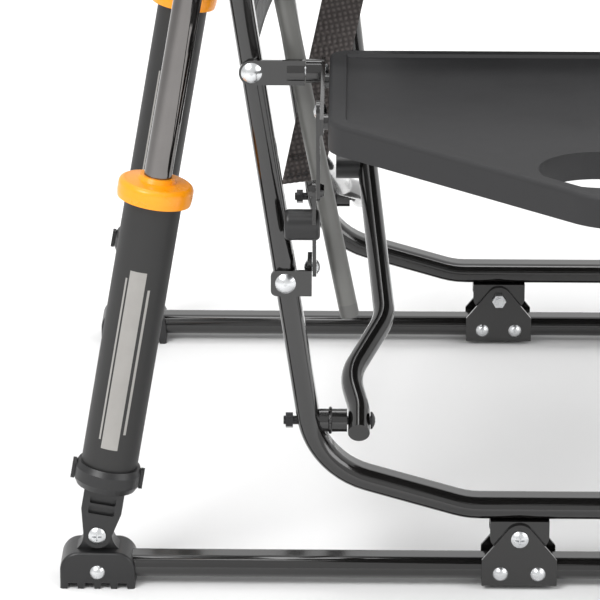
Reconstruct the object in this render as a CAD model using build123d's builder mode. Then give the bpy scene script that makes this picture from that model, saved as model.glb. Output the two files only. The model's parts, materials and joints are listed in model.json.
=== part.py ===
"""Camp rocking chair with a fold-down side table, as separate pieces.

Units are millimetres, +Z up, +X is where the sitter looks, +Y is the sitter's left.
The origin is on the ground, at the middle of the open chair's plan: X = 0 lies under the
two rocker pivots, and the sitter's mid-plane is at Y = CHAIR_Y, because the side table
stands out on the right only.
"""

import os
from math import asin, atan2, cos, degrees, hypot, radians, sin

from build123d import *

os.makedirs("parts", exist_ok=True)

# ---------------------------------------------------------------- driving dimensions
SIDE_Y = 260.0  # mid-plane to each side frame
TABLE_EDGE = 585.0  # mid-plane to the table's outer edge
FOOT_HALF = 18.0  # half the width of a foot
RIVET_HEAD = 2.8
PAD_WIDE, PAD_HIGH = 52.0, 20.0  # arm pads, the widest thing on the left
CHAIR_Y = (TABLE_EDGE - SIDE_Y - PAD_WIDE / 2) / 2
FOOT_X = 292.0  # rocker pivot to each foot's pin

# flat-oval tube of the base and the side frames
TUBE_WIDE = 26.0
TUBE_HIGH = 15.5
TUBE_WALL = 1.2
RAIL_Z = 13.0
PIVOT_Z = 38.0

# side frame, in the plane of one side
UPRIGHT_LEAN = 0.154  # rearward run for each millimetre of height
HEEL = (-141.0, 87.6)
SOLE = (-36.0, 57.5)
TOE = (203.0, 57.5)
POST_TOP = (192.0, 604.0)
TOP_Z = 886.0
ARM_Z = 604.0
SEAM_X = 62.0  # where the rear tube meets the front tube
HEEL_R, SOLE_R, TOE_R, ARM_R = 58.0, 60.0, 58.0, 62.0

# shock
SHOCK_TOP_Z = 528.0
SHOCK_R = 19.5
ROD_R = 9.5

# cross braces
BRACE_R = 7.5
BRACE_Z = 119.0
CROSS_Z = 223.0
BRACE_LEN = 463.0
BRACE_X = -111.5
FRONT_BRACE_X = 160.0

# table
TABLE_HINGE_Z = 371.0
TABLE_HINGE_OUT = 10.0  # hinge axis outboard of the side frame's plane
TABLE_TOP_Z = 380.5
TABLE_LIP = 20.0
LINK_FOOT_Z = 230.0
LINK_TOP_OUT, LINK_TOP_Z = 86.0, 365.0
LINK_LEN = 80.4

SCREW_R = 3.0
SIDES = {"right": -1, "left": 1}


def side_y(side):
    return CHAIR_Y + side * SIDE_Y


def side_plane(y):
    """Vertical plane across the chair at y: local x is X, local y is Z."""
    return Plane(origin=(0, y, 0), x_dir=(1, 0, 0), z_dir=(0, -1, 0))


def upright_x(z):
    return HEEL[0] - UPRIGHT_LEAN * (z - HEEL[1])


def save(builder, name):
    builder.part.label = name
    export_step(builder.part, f"parts/{name}.step")


# ---------------------------------------------------------------- shared hardware
def dome_mid(radius, height):
    """Middle point (radius, height) of the arc of a spherical cap, from its rim's level."""
    ball = (radius**2 + height**2) / (2 * height)
    half_angle = asin(radius / ball) / 2
    return ball * sin(half_angle), height - ball + ball * cos(half_angle)


def rivet(length, shank_r=2.5, head_r=5.2, head_h=RIVET_HEAD):
    """A dome rivet along Z, closed at both ends, centred on the origin."""
    half = length / 2
    mid_r, mid_h = dome_mid(head_r, head_h)
    with BuildPart() as pin:
        with BuildSketch(Plane.XZ):
            with BuildLine():
                axis = Line((0, -half - head_h), (0, half + head_h))
                top = ThreePointArc(axis @ 1, (mid_r, half + mid_h), (head_r, half))
                neck = Polyline(top @ 1, (shank_r, half), (shank_r, -half), (head_r, -half))
                ThreePointArc(neck @ 1, (mid_r, -half - mid_h), axis @ 0)
            make_face()
        revolve(axis=Axis.Z)
    return pin.part


def pan_screw(grip, shank_r=SCREW_R, head_r=6.0, head_h=3.4, nut_h=5.0):
    """A cross-slot pan-head screw: its head's seat is at Z = 0, its nut at Z = -grip."""
    rim = 0.35 * head_h
    mid_r, mid_h = dome_mid(head_r, head_h - rim)
    with BuildPart() as screw:
        with BuildSketch(Plane.XZ):
            with BuildLine():
                axis = Line((0, -grip - nut_h - 1.5), (0, head_h))
                crown = ThreePointArc(axis @ 1, (mid_r, rim + mid_h), (head_r, rim))
                Polyline(crown @ 1, (head_r, 0), (shank_r, 0), (shank_r, -grip - nut_h - 1.5), axis @ 0)
            make_face()
        revolve(axis=Axis.Z)
        with BuildSketch(Plane.XY.offset(-grip - nut_h)):
            RegularPolygon(5.6, 6)
            Circle(shank_r, mode=Mode.SUBTRACT)
        extrude(amount=nut_h)
        with BuildSketch(Plane.XY.offset(head_h)):
            Rectangle(6.4, 1.3)
            Rectangle(1.3, 6.4)
        extrude(amount=-1.9, taper=8, mode=Mode.SUBTRACT)
    return screw.part


def facing(x, y, z, side):
    """Location whose local Z points outboard, away from the chair's mid-plane."""
    return Location((x, y, z), (-90 * side, 0, 0))


def bent_bar(y, points, radii, inset=0.0):
    """Flat-oval bar bent in the side plane at y, its section moved in by a distance."""
    with BuildPart() as bar:
        with BuildLine(side_plane(y)) as path:
            FilletPolyline(*points, radius=radii)
        with BuildSketch(Plane(origin=path.line @ 0, x_dir=(0, 1, 0), z_dir=path.line % 0)):
            SlotOverall(TUBE_WIDE - 2 * inset, TUBE_HIGH - 2 * inset)
        sweep(path=path.line)
    return bar.part


def round_tube(points, radii, radius, wall):
    """Round tube along a filleted route of three-dimensional points."""
    with BuildPart() as tube:
        with BuildLine() as path:
            FilletPolyline(*points, radius=radii)
        with BuildSketch(Plane(origin=path.line @ 0, z_dir=path.line % 0)):
            Circle(radius)
            if wall:
                Circle(radius - wall, mode=Mode.SUBTRACT)
        sweep(path=path.line)
    return tube.part


# ---------------------------------------------------------------- base
FOOT_LEN = 52.0
FOOT_TOP = 26.5
FOOT_GAP = 4.2  # height of the grooves between the tread bars
TONGUE_HALF = 8.6
KNUCKLE_R = 9.5
GUSSET_LEN = 52.0
RIVET_Z = 12.0
GUSSET_RIVET_X = 13.0


def foot(side, x, with_tongue):
    y = side_y(side)
    with BuildPart() as body:
        with BuildSketch(side_plane(y)) as outline:
            with Locations((x, FOOT_TOP / 2)):
                Rectangle(FOOT_LEN, FOOT_TOP)
            fillet(outline.vertices().group_by(Axis.Y)[-1], 13)
        extrude(amount=FOOT_HALF, both=True)
        fillet(body.faces().filter_by(Axis.Y).edges().filter_by(lambda e: e.center().Z > 2), 2.2)
        if with_tongue:
            with BuildSketch(side_plane(y)):
                with BuildLine():
                    base = Line((x - 21, FOOT_TOP - 3), (x + 21, FOOT_TOP - 3))
                    rise = ThreePointArc(base @ 1, (x + 12.2, FOOT_TOP + 2.5), (x + 9.8, PIVOT_Z))
                    top = ThreePointArc(rise @ 1, (x, PIVOT_Z + 9.8), (x - 9.8, PIVOT_Z))
                    ThreePointArc(top @ 1, (x - 12.2, FOOT_TOP + 2.5), base @ 0)
                make_face()
            extrude(amount=TONGUE_HALF, both=True)
        with BuildSketch(side_plane(y)):
            with GridLocations(11.5, 0, 4, 1):
                with Locations((x, FOOT_GAP / 2 - 0.5)):
                    Trapezoid(7.6, FOOT_GAP + 1, 80)
        extrude(amount=FOOT_HALF + 1, both=True, mode=Mode.SUBTRACT)
        inner = -1 if x > 0 else 1
        with BuildSketch(Plane.YZ.offset(x - inner * 14)):
            with Locations((y, RAIL_Z)):
                SlotOverall(TUBE_WIDE, TUBE_HIGH)
        extrude(amount=inner * 60, mode=Mode.SUBTRACT)
        with BuildSketch(side_plane(y)):
            with Locations((x, RIVET_Z)):
                Circle(2.5)
            if with_tongue:
                with Locations((x, PIVOT_Z)):
                    Circle(SCREW_R)
        extrude(amount=FOOT_HALF + 1, both=True, mode=Mode.SUBTRACT)
    return body


for name, side in SIDES.items():
    y = side_y(side)

    with BuildPart() as base_rail:
        with BuildSketch(Plane.YZ.offset(-FOOT_X - 13.5)):
            with Locations((y, RAIL_Z)):
                SlotOverall(TUBE_WIDE, TUBE_HIGH)
                SlotOverall(TUBE_WIDE - 2 * TUBE_WALL, TUBE_HIGH - 2 * TUBE_WALL, mode=Mode.SUBTRACT)
        extrude(amount=2 * FOOT_X + 27)
        with BuildSketch(side_plane(y)):
            with Locations(*[(x, RIVET_Z) for x in (-FOOT_X, -GUSSET_RIVET_X, GUSSET_RIVET_X, FOOT_X)]):
                Circle(2.5)
        extrude(amount=TUBE_WIDE, both=True, mode=Mode.SUBTRACT)
    save(base_rail, f"{name}_base_rail")

    save(foot(side, -FOOT_X, True), f"{name}_rear_foot")
    save(foot(side, FOOT_X, False), f"{name}_front_foot")

    with BuildPart() as rocker_bracket:
        with BuildSketch(side_plane(y)):
            with Locations((0, 12.8)):
                Rectangle(GUSSET_LEN, 18.8)
            with Locations((0, PIVOT_Z)):
                Circle(10.2)
            make_hull()
            with Locations((0, PIVOT_Z)):
                Circle(SCREW_R, mode=Mode.SUBTRACT)
            with Locations((-GUSSET_RIVET_X, RIVET_Z), (GUSSET_RIVET_X, RIVET_Z)):
                Circle(2.5, mode=Mode.SUBTRACT)
        extrude(amount=15.6, both=True)
        with BuildSketch(side_plane(y)):
            with Locations((0, 50 + RAIL_Z - TUBE_HIGH / 2)):
                Rectangle(GUSSET_LEN + 2, 100)
        extrude(amount=TUBE_WIDE / 2, both=True, mode=Mode.SUBTRACT)
    save(rocker_bracket, f"{name}_rocker_bracket")

    bracket_rivet = rivet(31.2)
    foot_rivet = rivet(2 * FOOT_HALF)
    with BuildPart() as base_rivets:
        with Locations(facing(-GUSSET_RIVET_X, y, RIVET_Z, side), facing(GUSSET_RIVET_X, y, RIVET_Z, side)):
            add(bracket_rivet)
        with Locations(facing(-FOOT_X, y, RIVET_Z, side), facing(FOOT_X, y, RIVET_Z, side)):
            add(foot_rivet)
    save(base_rivets, f"{name}_base_rivets")

    with BuildPart() as pivot_screws:
        with Locations(facing(0, y + side * 15.6, PIVOT_Z, side)):
            add(pan_screw(31.2))
        with Locations(facing(-FOOT_X, y + side * 13.4, PIVOT_Z, side)):
            add(pan_screw(26.8))
    save(pivot_screws, f"{name}_pivot_screws")

# ---------------------------------------------------------------- side frames
LUG_HALF_LEN = 20.5
SEAT_RAIL_R = 9.5
SEAT_REAR_Z, SEAT_FRONT_Z = 432.0, 450.0
PAD_X0, PAD_X1 = -150.0, 120.0


def post_x(z):
    run = (POST_TOP[0] - TOE[0]) / (POST_TOP[1] - TOE[1])
    return TOE[0] + run * (z - TOE[1])


REAR_ROUTE = [(upright_x(TOP_Z), TOP_Z), HEEL, SOLE, (SEAM_X, SOLE[1])]
FRONT_ROUTE = [(SEAM_X, TOE[1]), TOE, POST_TOP, (upright_x(ARM_Z) + 2, ARM_Z)]
HEEL_TUBE_X = -138.9  # centre of the rear tube where the brace stub meets its bend
POST_FRONT_X = post_x(BRACE_Z)
REAR_STUB_X = BRACE_X - BRACE_R - 0.6  # ends of the welded stubs that the braces turn against
FRONT_STUB_X = FRONT_BRACE_X + BRACE_R + 0.6
STUB_R = 8.0

for name, side in SIDES.items():
    y = side_y(side)
    rear_solid = bent_bar(y, REAR_ROUTE, [HEEL_R, SOLE_R])
    front_solid = bent_bar(y, FRONT_ROUTE, [TOE_R, ARM_R])

    with BuildPart() as rear_tube:
        add(rear_solid)
        with BuildSketch(Plane.YZ.offset(HEEL_TUBE_X)):
            with Locations((y, BRACE_Z)):
                Circle(STUB_R)
        extrude(amount=REAR_STUB_X - HEEL_TUBE_X)
        add(bent_bar(y, REAR_ROUTE, [HEEL_R, SOLE_R], TUBE_WALL), mode=Mode.SUBTRACT)
        with BuildSketch(side_plane(y)):
            with Locations((upright_x(SHOCK_TOP_Z), SHOCK_TOP_Z)):
                Circle(SCREW_R)
        extrude(amount=TUBE_WIDE, both=True, mode=Mode.SUBTRACT)
        with BuildSketch(Plane.YZ.offset(-170)):
            with Locations((y, BRACE_Z)):
                Circle(SCREW_R)
        extrude(amount=70, mode=Mode.SUBTRACT)
        if side < 0:
            with BuildSketch(side_plane(y)):
                for z in (TABLE_HINGE_Z, CROSS_Z):
                    with Locations((upright_x(z), z)):
                        Circle(2.5)
            extrude(amount=TUBE_WIDE, both=True, mode=Mode.SUBTRACT)
    save(rear_tube, f"{name}_rear_tube")

    with BuildPart() as front_tube:
        add(front_solid)
        with BuildSketch(Plane.YZ.offset(FRONT_STUB_X)):
            with Locations((y, BRACE_Z)):
                Circle(STUB_R)
        extrude(amount=POST_FRONT_X - FRONT_STUB_X)
        add(bent_bar(y, FRONT_ROUTE, [TOE_R, ARM_R], TUBE_WALL), mode=Mode.SUBTRACT)
        add(rear_solid, mode=Mode.SUBTRACT)
        with BuildSketch(Plane.YZ.offset(120)):
            with Locations((y, BRACE_Z)):
                Circle(SCREW_R)
        extrude(amount=120, mode=Mode.SUBTRACT)
        if side < 0:
            with BuildSketch(side_plane(y)):
                for z in (TABLE_HINGE_Z, CROSS_Z):
                    with Locations((post_x(z), z)):
                        Circle(2.5)
            extrude(amount=TUBE_WIDE, both=True, mode=Mode.SUBTRACT)
    save(front_tube, f"{name}_front_tube")

    with BuildPart() as seat_rail:
        rail_ends = [(upright_x(SEAT_REAR_Z), y, SEAT_REAR_Z), (post_x(SEAT_FRONT_Z), y, SEAT_FRONT_Z)]
        along = Vector(*rail_ends[1]) - Vector(*rail_ends[0])
        with BuildSketch(Plane(origin=rail_ends[0], z_dir=along)):
            Circle(SEAT_RAIL_R)
            Circle(SEAT_RAIL_R - TUBE_WALL, mode=Mode.SUBTRACT)
        extrude(amount=along.length)
        add(rear_solid, mode=Mode.SUBTRACT)
        add(front_solid, mode=Mode.SUBTRACT)
    save(seat_rail, f"{name}_seat_rail")

    with BuildPart() as rocker_lug:
        lug_top = SOLE[1] - TUBE_HIGH / 2
        with BuildSketch(side_plane(y)) as cheek:
            with Locations((0, (lug_top + 29.5) / 2)):
                Rectangle(2 * LUG_HALF_LEN, lug_top - 29.5)
            fillet(cheek.vertices().group_by(Axis.Y)[0], 9)
            with Locations((0, PIVOT_Z)):
                Circle(SCREW_R + 0.05, mode=Mode.SUBTRACT)
        extrude(amount=12.7, both=True)
        with BuildSketch(side_plane(y)):
            with Locations((0, lug_top - 2.4 - 50)):
                Rectangle(60, 100)
        extrude(amount=10.3, both=True, mode=Mode.SUBTRACT)
    save(rocker_lug, f"{name}_rocker_lug")

    with BuildPart() as arm_pad:
        with BuildSketch(Plane.XY.offset(ARM_Z + TUBE_HIGH / 2)):
            with Locations(((PAD_X0 + PAD_X1) / 2, y)):
                SlotOverall(PAD_X1 - PAD_X0, PAD_WIDE)
        extrude(amount=PAD_HIGH)
        fillet(arm_pad.faces().sort_by(Axis.Z)[-1].edges(), 8)
        fillet(arm_pad.faces().sort_by(Axis.Z)[0].edges(), 4)
    save(arm_pad, f"{name}_arm_pad")

    with BuildPart() as tube_cap:
        top = Plane(
            origin=(upright_x(TOP_Z), y, TOP_Z), x_dir=(0, 1, 0), z_dir=(-UPRIGHT_LEAN, 0, 1)
        )
        with BuildSketch(top):
            SlotOverall(TUBE_WIDE, TUBE_HIGH)
        extrude(amount=5)
        fillet(tube_cap.faces().sort_by(Axis.Z)[-1].edges(), 3)
        with BuildSketch(top):
            SlotOverall(TUBE_WIDE - 2 * TUBE_WALL - 0.1, TUBE_HIGH - 2 * TUBE_WALL - 0.1)
        extrude(amount=-14)
    save(tube_cap, f"{name}_tube_cap")

# ---------------------------------------------------------------- shocks
SHOCK_FOOT = (-FOOT_X, PIVOT_Z)
SHOCK_TOP = (upright_x(SHOCK_TOP_Z), SHOCK_TOP_Z)
SHOCK_RUN = (SHOCK_TOP[0] - SHOCK_FOOT[0], SHOCK_TOP[1] - SHOCK_FOOT[1])
SHOCK_LEN = hypot(*SHOCK_RUN)
SHOCK_TILT = degrees(atan2(*SHOCK_RUN))
COLLAR_S, TUBE_S, RING_S = 33.0, 50.0, 243.0
FORK_S = SHOCK_LEN - 78.0
EYE_R = 11.0
EYE_HOLE_R = 5.0
FORK_IN, FORK_OUT = 13.4, 16.4


def shock_plane(y):
    """Local x crosses the shock, local y runs up its axis from the foot screw."""
    tilt = radians(SHOCK_TILT)
    return Plane(
        origin=(SHOCK_FOOT[0], y, SHOCK_FOOT[1]),
        x_dir=(cos(tilt), 0, -sin(tilt)),
        z_dir=(0, -1, 0),
    )


def shock_axis(y):
    tilt = radians(SHOCK_TILT)
    return Axis((SHOCK_FOOT[0], y, SHOCK_FOOT[1]), (sin(tilt), 0, cos(tilt)))


def turned(y, points):
    """Solid of revolution about the shock's axis, from (radius, height) points."""
    with BuildPart() as body:
        with BuildSketch(shock_plane(y)):
            with BuildLine():
                Polyline(*points, close=True)
            make_face()
        revolve(axis=shock_axis(y))
    return body


for name, side in SIDES.items():
    y = side_y(side)
    plane = shock_plane(y)

    with BuildPart() as shock_knuckle:
        with BuildSketch(plane):
            with Locations((0, 25.4)):
                Rectangle(28, 15)
            Circle(KNUCKLE_R)
            make_hull()
        extrude(amount=13.4, both=True)
        with BuildSketch(plane):
            with Locations((0, 0)):
                Rectangle(60, 29)
        extrude(amount=TONGUE_HALF + 0.3, both=True, mode=Mode.SUBTRACT)
        for face_side in (-1, 1):
            with BuildSketch(Plane(plane.origin + (0, face_side * 13.4, 0), plane.x_dir, plane.z_dir)):
                with Locations((0, 18.2), (0, 25.8)):
                    RectangleRounded(18, 5.6, 1.4)
            extrude(amount=face_side * 3.0, mode=Mode.SUBTRACT)
        with BuildSketch(plane):
            Circle(SCREW_R + 0.05)
        extrude(amount=20, both=True, mode=Mode.SUBTRACT)
    save(shock_knuckle, f"{name}_shock_knuckle")

    with BuildPart() as shock_collar:
        with BuildSketch(plane):
            with BuildLine():
                Polyline((0, COLLAR_S), (20.5, COLLAR_S), (23.4, COLLAR_S + 5), (23.4, 46), (21.4, TUBE_S),
                         (SHOCK_R, TUBE_S), (SHOCK_R, 42), (0, 42), close=True)
            make_face()
        revolve(axis=shock_axis(y))
        for lug_side in (-1, 1):
            lug = Plane(plane.from_local_coords((lug_side * 22.4, 42, 0)), x_dir=(0, 1, 0),
                        z_dir=plane.x_dir * lug_side)
            with BuildSketch(lug):
                SlotOverall(15, 10, rotation=90)
            extrude(amount=2.6)
    save(shock_collar, f"{name}_shock_collar")

    save(turned(y, [(17.3, 42), (SHOCK_R, 42), (SHOCK_R, RING_S), (17.3, RING_S)]), f"{name}_shock_tube")

    with BuildPart() as shock_ring:
        with BuildSketch(plane):
            with BuildLine():
                skirt = Polyline((ROD_R + 0.08, RING_S - 17), (17.25, RING_S - 17), (17.25, RING_S),
                                 (25.2, RING_S), (25.8, RING_S + 4), (25.8, RING_S + 9.5))
                dome = ThreePointArc(skirt @ 1, (24.6, RING_S + 12.2), (21.5, RING_S + 13.2))
                lip = Polyline(dome @ 1, (13.4, RING_S + 14), (12.2, RING_S + 17),
                               (ROD_R + 0.08, RING_S + 17), skirt @ 0)
            make_face()
        revolve(axis=shock_axis(y))
    save(shock_ring, f"{name}_shock_ring")

    with BuildPart() as shock_rod:
        with BuildSketch(plane):
            with BuildLine():
                Polyline((0, 178), (ROD_R, 178), (ROD_R, FORK_S), (0, FORK_S), close=True)
            make_face()
        revolve(axis=shock_axis(y))
    save(shock_rod, f"{name}_shock_rod")

    save(turned(y, [(0, 168), (17.15, 168), (17.15, 171), (15.6, 172), (15.6, 174.5), (17.15, 175.5),
                    (17.15, 178), (0, 178)]), f"{name}_shock_piston")

    with BuildPart() as shock_spring:
        coil_foot = plane.from_local_coords((0, 44.2, 0))
        with BuildLine() as coil:
            Helix(pitch=11.5, height=121.6, radius=14.2, center=coil_foot, direction=shock_axis(y).direction)
        with BuildSketch(Plane(origin=coil.line @ 0, z_dir=coil.line % 0)):
            Circle(1.7)
        sweep(path=coil.line, is_frenet=True)
    save(shock_spring, f"{name}_shock_spring")

    with BuildPart() as shock_fork:
        with BuildSketch(plane):
            with Locations((0, FORK_S + 6)):
                Rectangle(22, 12)
        extrude(amount=FORK_OUT, both=True)
        with BuildSketch(plane):
            with Locations((0, FORK_S + 10)):
                Rectangle(22, 4)
            with Locations((0, SHOCK_LEN)):
                Circle(EYE_R)
            make_hull()
        extrude(amount=FORK_OUT, both=True)
        with BuildSketch(plane):
            with Locations((0, SHOCK_LEN)):
                Rectangle(60, 2 * (SHOCK_LEN - FORK_S - 12))
        extrude(amount=FORK_IN, both=True, mode=Mode.SUBTRACT)
        with BuildSketch(plane):
            with Locations((0, SHOCK_LEN)):
                Circle(EYE_HOLE_R)
        extrude(amount=20, both=True, mode=Mode.SUBTRACT)
    save(shock_fork, f"{name}_shock_fork")

# ---------------------------------------------------------------- cross braces
HALF_SPAN = hypot(SIDE_Y, CROSS_Z - BRACE_Z)
BRACE_ANGLE = degrees(atan2(CROSS_Z - BRACE_Z, SIDE_Y))
CROSS_GAP = 1.5  # lets the opened crossing pivot swing past the other tube


def brace_point(side, along, x):
    """Point at a distance along a brace that starts at the frame of the given side."""
    slope = radians(BRACE_ANGLE)
    return (x, side_y(side) - side * along * cos(slope), BRACE_Z + along * sin(slope))


def brace(side, stations, radii, hole_at):
    """Round brace tube; stations are (distance along, X) pairs."""
    points = [brace_point(side, along, x) for along, x in stations]
    with BuildPart() as tube:
        add(round_tube(points, radii, BRACE_R, 0))
        for along in hole_at:
            centre = brace_point(side, along, 0)
            with BuildSketch(Plane.YZ.offset(-300)):
                with Locations((centre[1], centre[2])):
                    Circle(SCREW_R + 0.05)
            extrude(amount=600, mode=Mode.SUBTRACT)
    return tube


REAR_RIGHT = [(-13, BRACE_X), (12, BRACE_X), (46, -118.5), (108, -93.6), (BRACE_LEN, -119.5)]
REAR_LEFT = [(-13, BRACE_X), (12, BRACE_X), (46, -108.0), (108, -126.0), (BRACE_LEN, -151.5)]
save(brace(-1, REAR_RIGHT, 50, (0,)), "rear_brace_right")
save(brace(1, REAR_LEFT, 50, (0,)), "rear_brace_left")

# front toggle brace: two half-length struts that meet at the middle under the seat
FRONT_RIGHT = [(-13, FRONT_BRACE_X), (45, FRONT_BRACE_X), (110, 152.0), (HALF_SPAN + 12, 152.0)]
FRONT_LEFT = [(-13, FRONT_BRACE_X), (45, FRONT_BRACE_X), (110, 168.6), (HALF_SPAN + 12, 168.6)]
save(brace(-1, FRONT_RIGHT, 60, (0,)), "front_brace_right")
save(brace(1, FRONT_LEFT, 60, (0,)), "front_brace_left")


def rear_x(stations, along):
    (s0, x0), (s1, x1) = stations[-2], stations[-1]
    return x0 + (x1 - x0) * (along - s0) / (s1 - s0)


CROSS_FRONT = rear_x(REAR_RIGHT, HALF_SPAN) - BRACE_R
CROSS_REAR = rear_x(REAR_LEFT, HALF_SPAN) + BRACE_R
with BuildPart() as crossing_spacer:
    with BuildSketch(Plane.YZ.offset(CROSS_REAR + CROSS_GAP)):
        with Locations((CHAIR_Y, CROSS_Z)):
            Circle(9)
    extrude(amount=CROSS_FRONT - CROSS_REAR - CROSS_GAP + 2)
    add(round_tube([brace_point(-1, a, x) for a, x in REAR_RIGHT], 50, BRACE_R, 0), mode=Mode.SUBTRACT)
save(crossing_spacer, "crossing_spacer")

for name, side in SIDES.items():
    y = side_y(side)
    with BuildPart() as frame_screws:
        with Locations(facing(SHOCK_TOP[0], y + side * (FORK_OUT + 0.3), SHOCK_TOP[1], side)):
            add(pan_screw(2 * FORK_OUT + 0.6, head_r=8.0))
        rear_head_x = BRACE_X + BRACE_R + 0.4
        with Locations(Location((rear_head_x, y, BRACE_Z), (0, 90, 0))):
            add(pan_screw(rear_head_x - HEEL_TUBE_X + 18))
        front_head_x = FRONT_BRACE_X - BRACE_R - 0.4
        with Locations(Location((front_head_x, y, BRACE_Z), (0, -90, 0))):
            add(pan_screw(POST_FRONT_X - front_head_x + 8.5))
    save(frame_screws, f"{name}_frame_screws")

# ---------------------------------------------------------------- side table, on the right
TABLE_Y = side_y(-1)
HINGE_Y = TABLE_Y - TABLE_HINGE_OUT
REAR_TUBE_X, FRONT_TUBE_X = upright_x(TABLE_HINGE_Z), post_x(TABLE_HINGE_Z)
LINK_TOP = (TABLE_Y - LINK_TOP_OUT, LINK_TOP_Z)
LINK_FOOT = (TABLE_Y, LINK_FOOT_Z)
KNEE = ((LINK_TOP[0] + LINK_FOOT[0]) / 2, (LINK_TOP[1] + LINK_FOOT[1]) / 2)
LINK_WIDE = 14.0
CUP_X, CUP_OUT, CUP_R = 36.0, 248.0, 38.0
TABLE_X0, TABLE_X1 = -132.4, 143.5
OUTER = TABLE_EDGE - SIDE_Y - TABLE_HINGE_OUT
PIN_R = 3.0

# both ends of the table carry the same hinge and folding brace; each end's parts are
# placed by their distance from the frame tube there, towards the table
ENDS = ((REAR_TUBE_X, 1), (FRONT_TUBE_X, -1))
KNUCKLE_AT, BARREL_AT, TAB_AT = (26.6, 35.6), (36.4, 48.6), (37.6, 40.6)
LOWER_AT, UPPER_AT, ARM_AT = (41.0, 43.5), (43.9, 46.4), (46.8, 49.3)


def slab_x(end, span):
    """Plane across X at the first of two distances, and the thickness to the second."""
    tube_x, towards = end
    plane = Plane(origin=(tube_x + towards * span[0], 0, 0), x_dir=(0, 1, 0), z_dir=(1, 0, 0))
    return plane, towards * (span[1] - span[0])


def bar_outline(a, b, width, hole_r, ends=(True, True)):
    """Flat bar with round ends between two points, drilled at the ends asked for."""
    angle = degrees(atan2(b[1] - a[1], b[0] - a[0]))
    with BuildSketch() as bar:
        with Locations(((a[0] + b[0]) / 2, (a[1] + b[1]) / 2)):
            SlotCenterToCenter(hypot(b[0] - a[0], b[1] - a[1]), width, rotation=angle)
        for point, drilled in zip((a, b), ends):
            if drilled:
                with Locations(point):
                    Circle(hole_r, mode=Mode.SUBTRACT)
    return bar.sketch


def table_plan(inset):
    """The table's outline from above, moved in by a distance."""
    with BuildSketch() as plan:
        with BuildLine():
            FilletPolyline(
                (TABLE_X0, HINGE_Y + 20), (TABLE_X0, HINGE_Y - 156), (TABLE_X0 + 164, HINGE_Y - OUTER),
                (TABLE_X1, HINGE_Y - OUTER), (TABLE_X1, HINGE_Y + 20),
                radius=[12, 28, 48, 48, 12], close=True,
            )
        make_face()
        if inset:
            offset(amount=-inset)
    return plan.sketch


with BuildPart() as side_table:
    with BuildSketch(Plane.XY.offset(TABLE_TOP_Z - TABLE_LIP)):
        add(table_plan(0))
    extrude(amount=TABLE_LIP)
    fillet(side_table.faces().sort_by(Axis.Z)[-1].edges(), 3)
    with BuildSketch(Plane.XY.offset(TABLE_TOP_Z)):
        add(table_plan(11))
    extrude(amount=-2.2, taper=25, mode=Mode.SUBTRACT)
    with BuildSketch(Plane.XY.offset(TABLE_TOP_Z - TABLE_LIP)):
        add(table_plan(2.8))
        with Locations((CUP_X, HINGE_Y - CUP_OUT)):
            Circle(CUP_R + 3, mode=Mode.SUBTRACT)
        for x in (-60, 10, 80):
            with Locations((x, HINGE_Y - 90)):
                Rectangle(2.4, 240, mode=Mode.SUBTRACT)
        with Locations((6, HINGE_Y - 40), (6, HINGE_Y - 130)):
            Rectangle(300, 2.4, mode=Mode.SUBTRACT)
    extrude(amount=TABLE_LIP - 5.2, mode=Mode.SUBTRACT)
    with BuildSketch(Plane.XY.offset(TABLE_TOP_Z - TABLE_LIP - 1)):
        with Locations((CUP_X, HINGE_Y - CUP_OUT)):
            Circle(CUP_R)
    extrude(amount=TABLE_LIP + 2, mode=Mode.SUBTRACT)
save(side_table, "side_table")

ARM_LEN = 142.0
with BuildPart() as table_arms:
    for end, table_edge_x in zip(ENDS, (TABLE_X0, TABLE_X1)):
        plane, depth = slab_x(end, ARM_AT)
        with BuildSketch(plane):
            with BuildLine():
                Polyline((HINGE_Y + 8, TABLE_HINGE_Z + 7.5), (HINGE_Y - ARM_LEN, TABLE_HINGE_Z + 7.5),
                         (HINGE_Y - ARM_LEN, TABLE_HINGE_Z - 3), (LINK_TOP[0] - 12, LINK_TOP_Z - 9),
                         (LINK_TOP[0] + 12, LINK_TOP_Z - 9), (HINGE_Y + 8, TABLE_HINGE_Z - 8), close=True)
            make_face()
            with Locations((LINK_TOP[0], LINK_TOP_Z), (HINGE_Y, TABLE_HINGE_Z)):
                Circle(PIN_R + 0.05, mode=Mode.SUBTRACT)
        extrude(amount=depth)
        plane, depth = slab_x(end, BARREL_AT)
        with BuildSketch(plane):
            with Locations((HINGE_Y, TABLE_HINGE_Z)):
                Circle(8)
                Circle(PIN_R + 0.05, mode=Mode.SUBTRACT)
        extrude(amount=depth)
        # two feet that reach from the arm to the table's skirt
        plane, depth = slab_x(end, (ARM_AT[1] - 0.5, abs(table_edge_x - end[0]) + 2))
        with BuildSketch(plane):
            with Locations((HINGE_Y - 24, TABLE_HINGE_Z), (HINGE_Y - 128, TABLE_HINGE_Z + 2)):
                Circle(5)
        extrude(amount=depth)
    add(side_table.part, mode=Mode.SUBTRACT)
save(table_arms, "table_arms")

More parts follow.
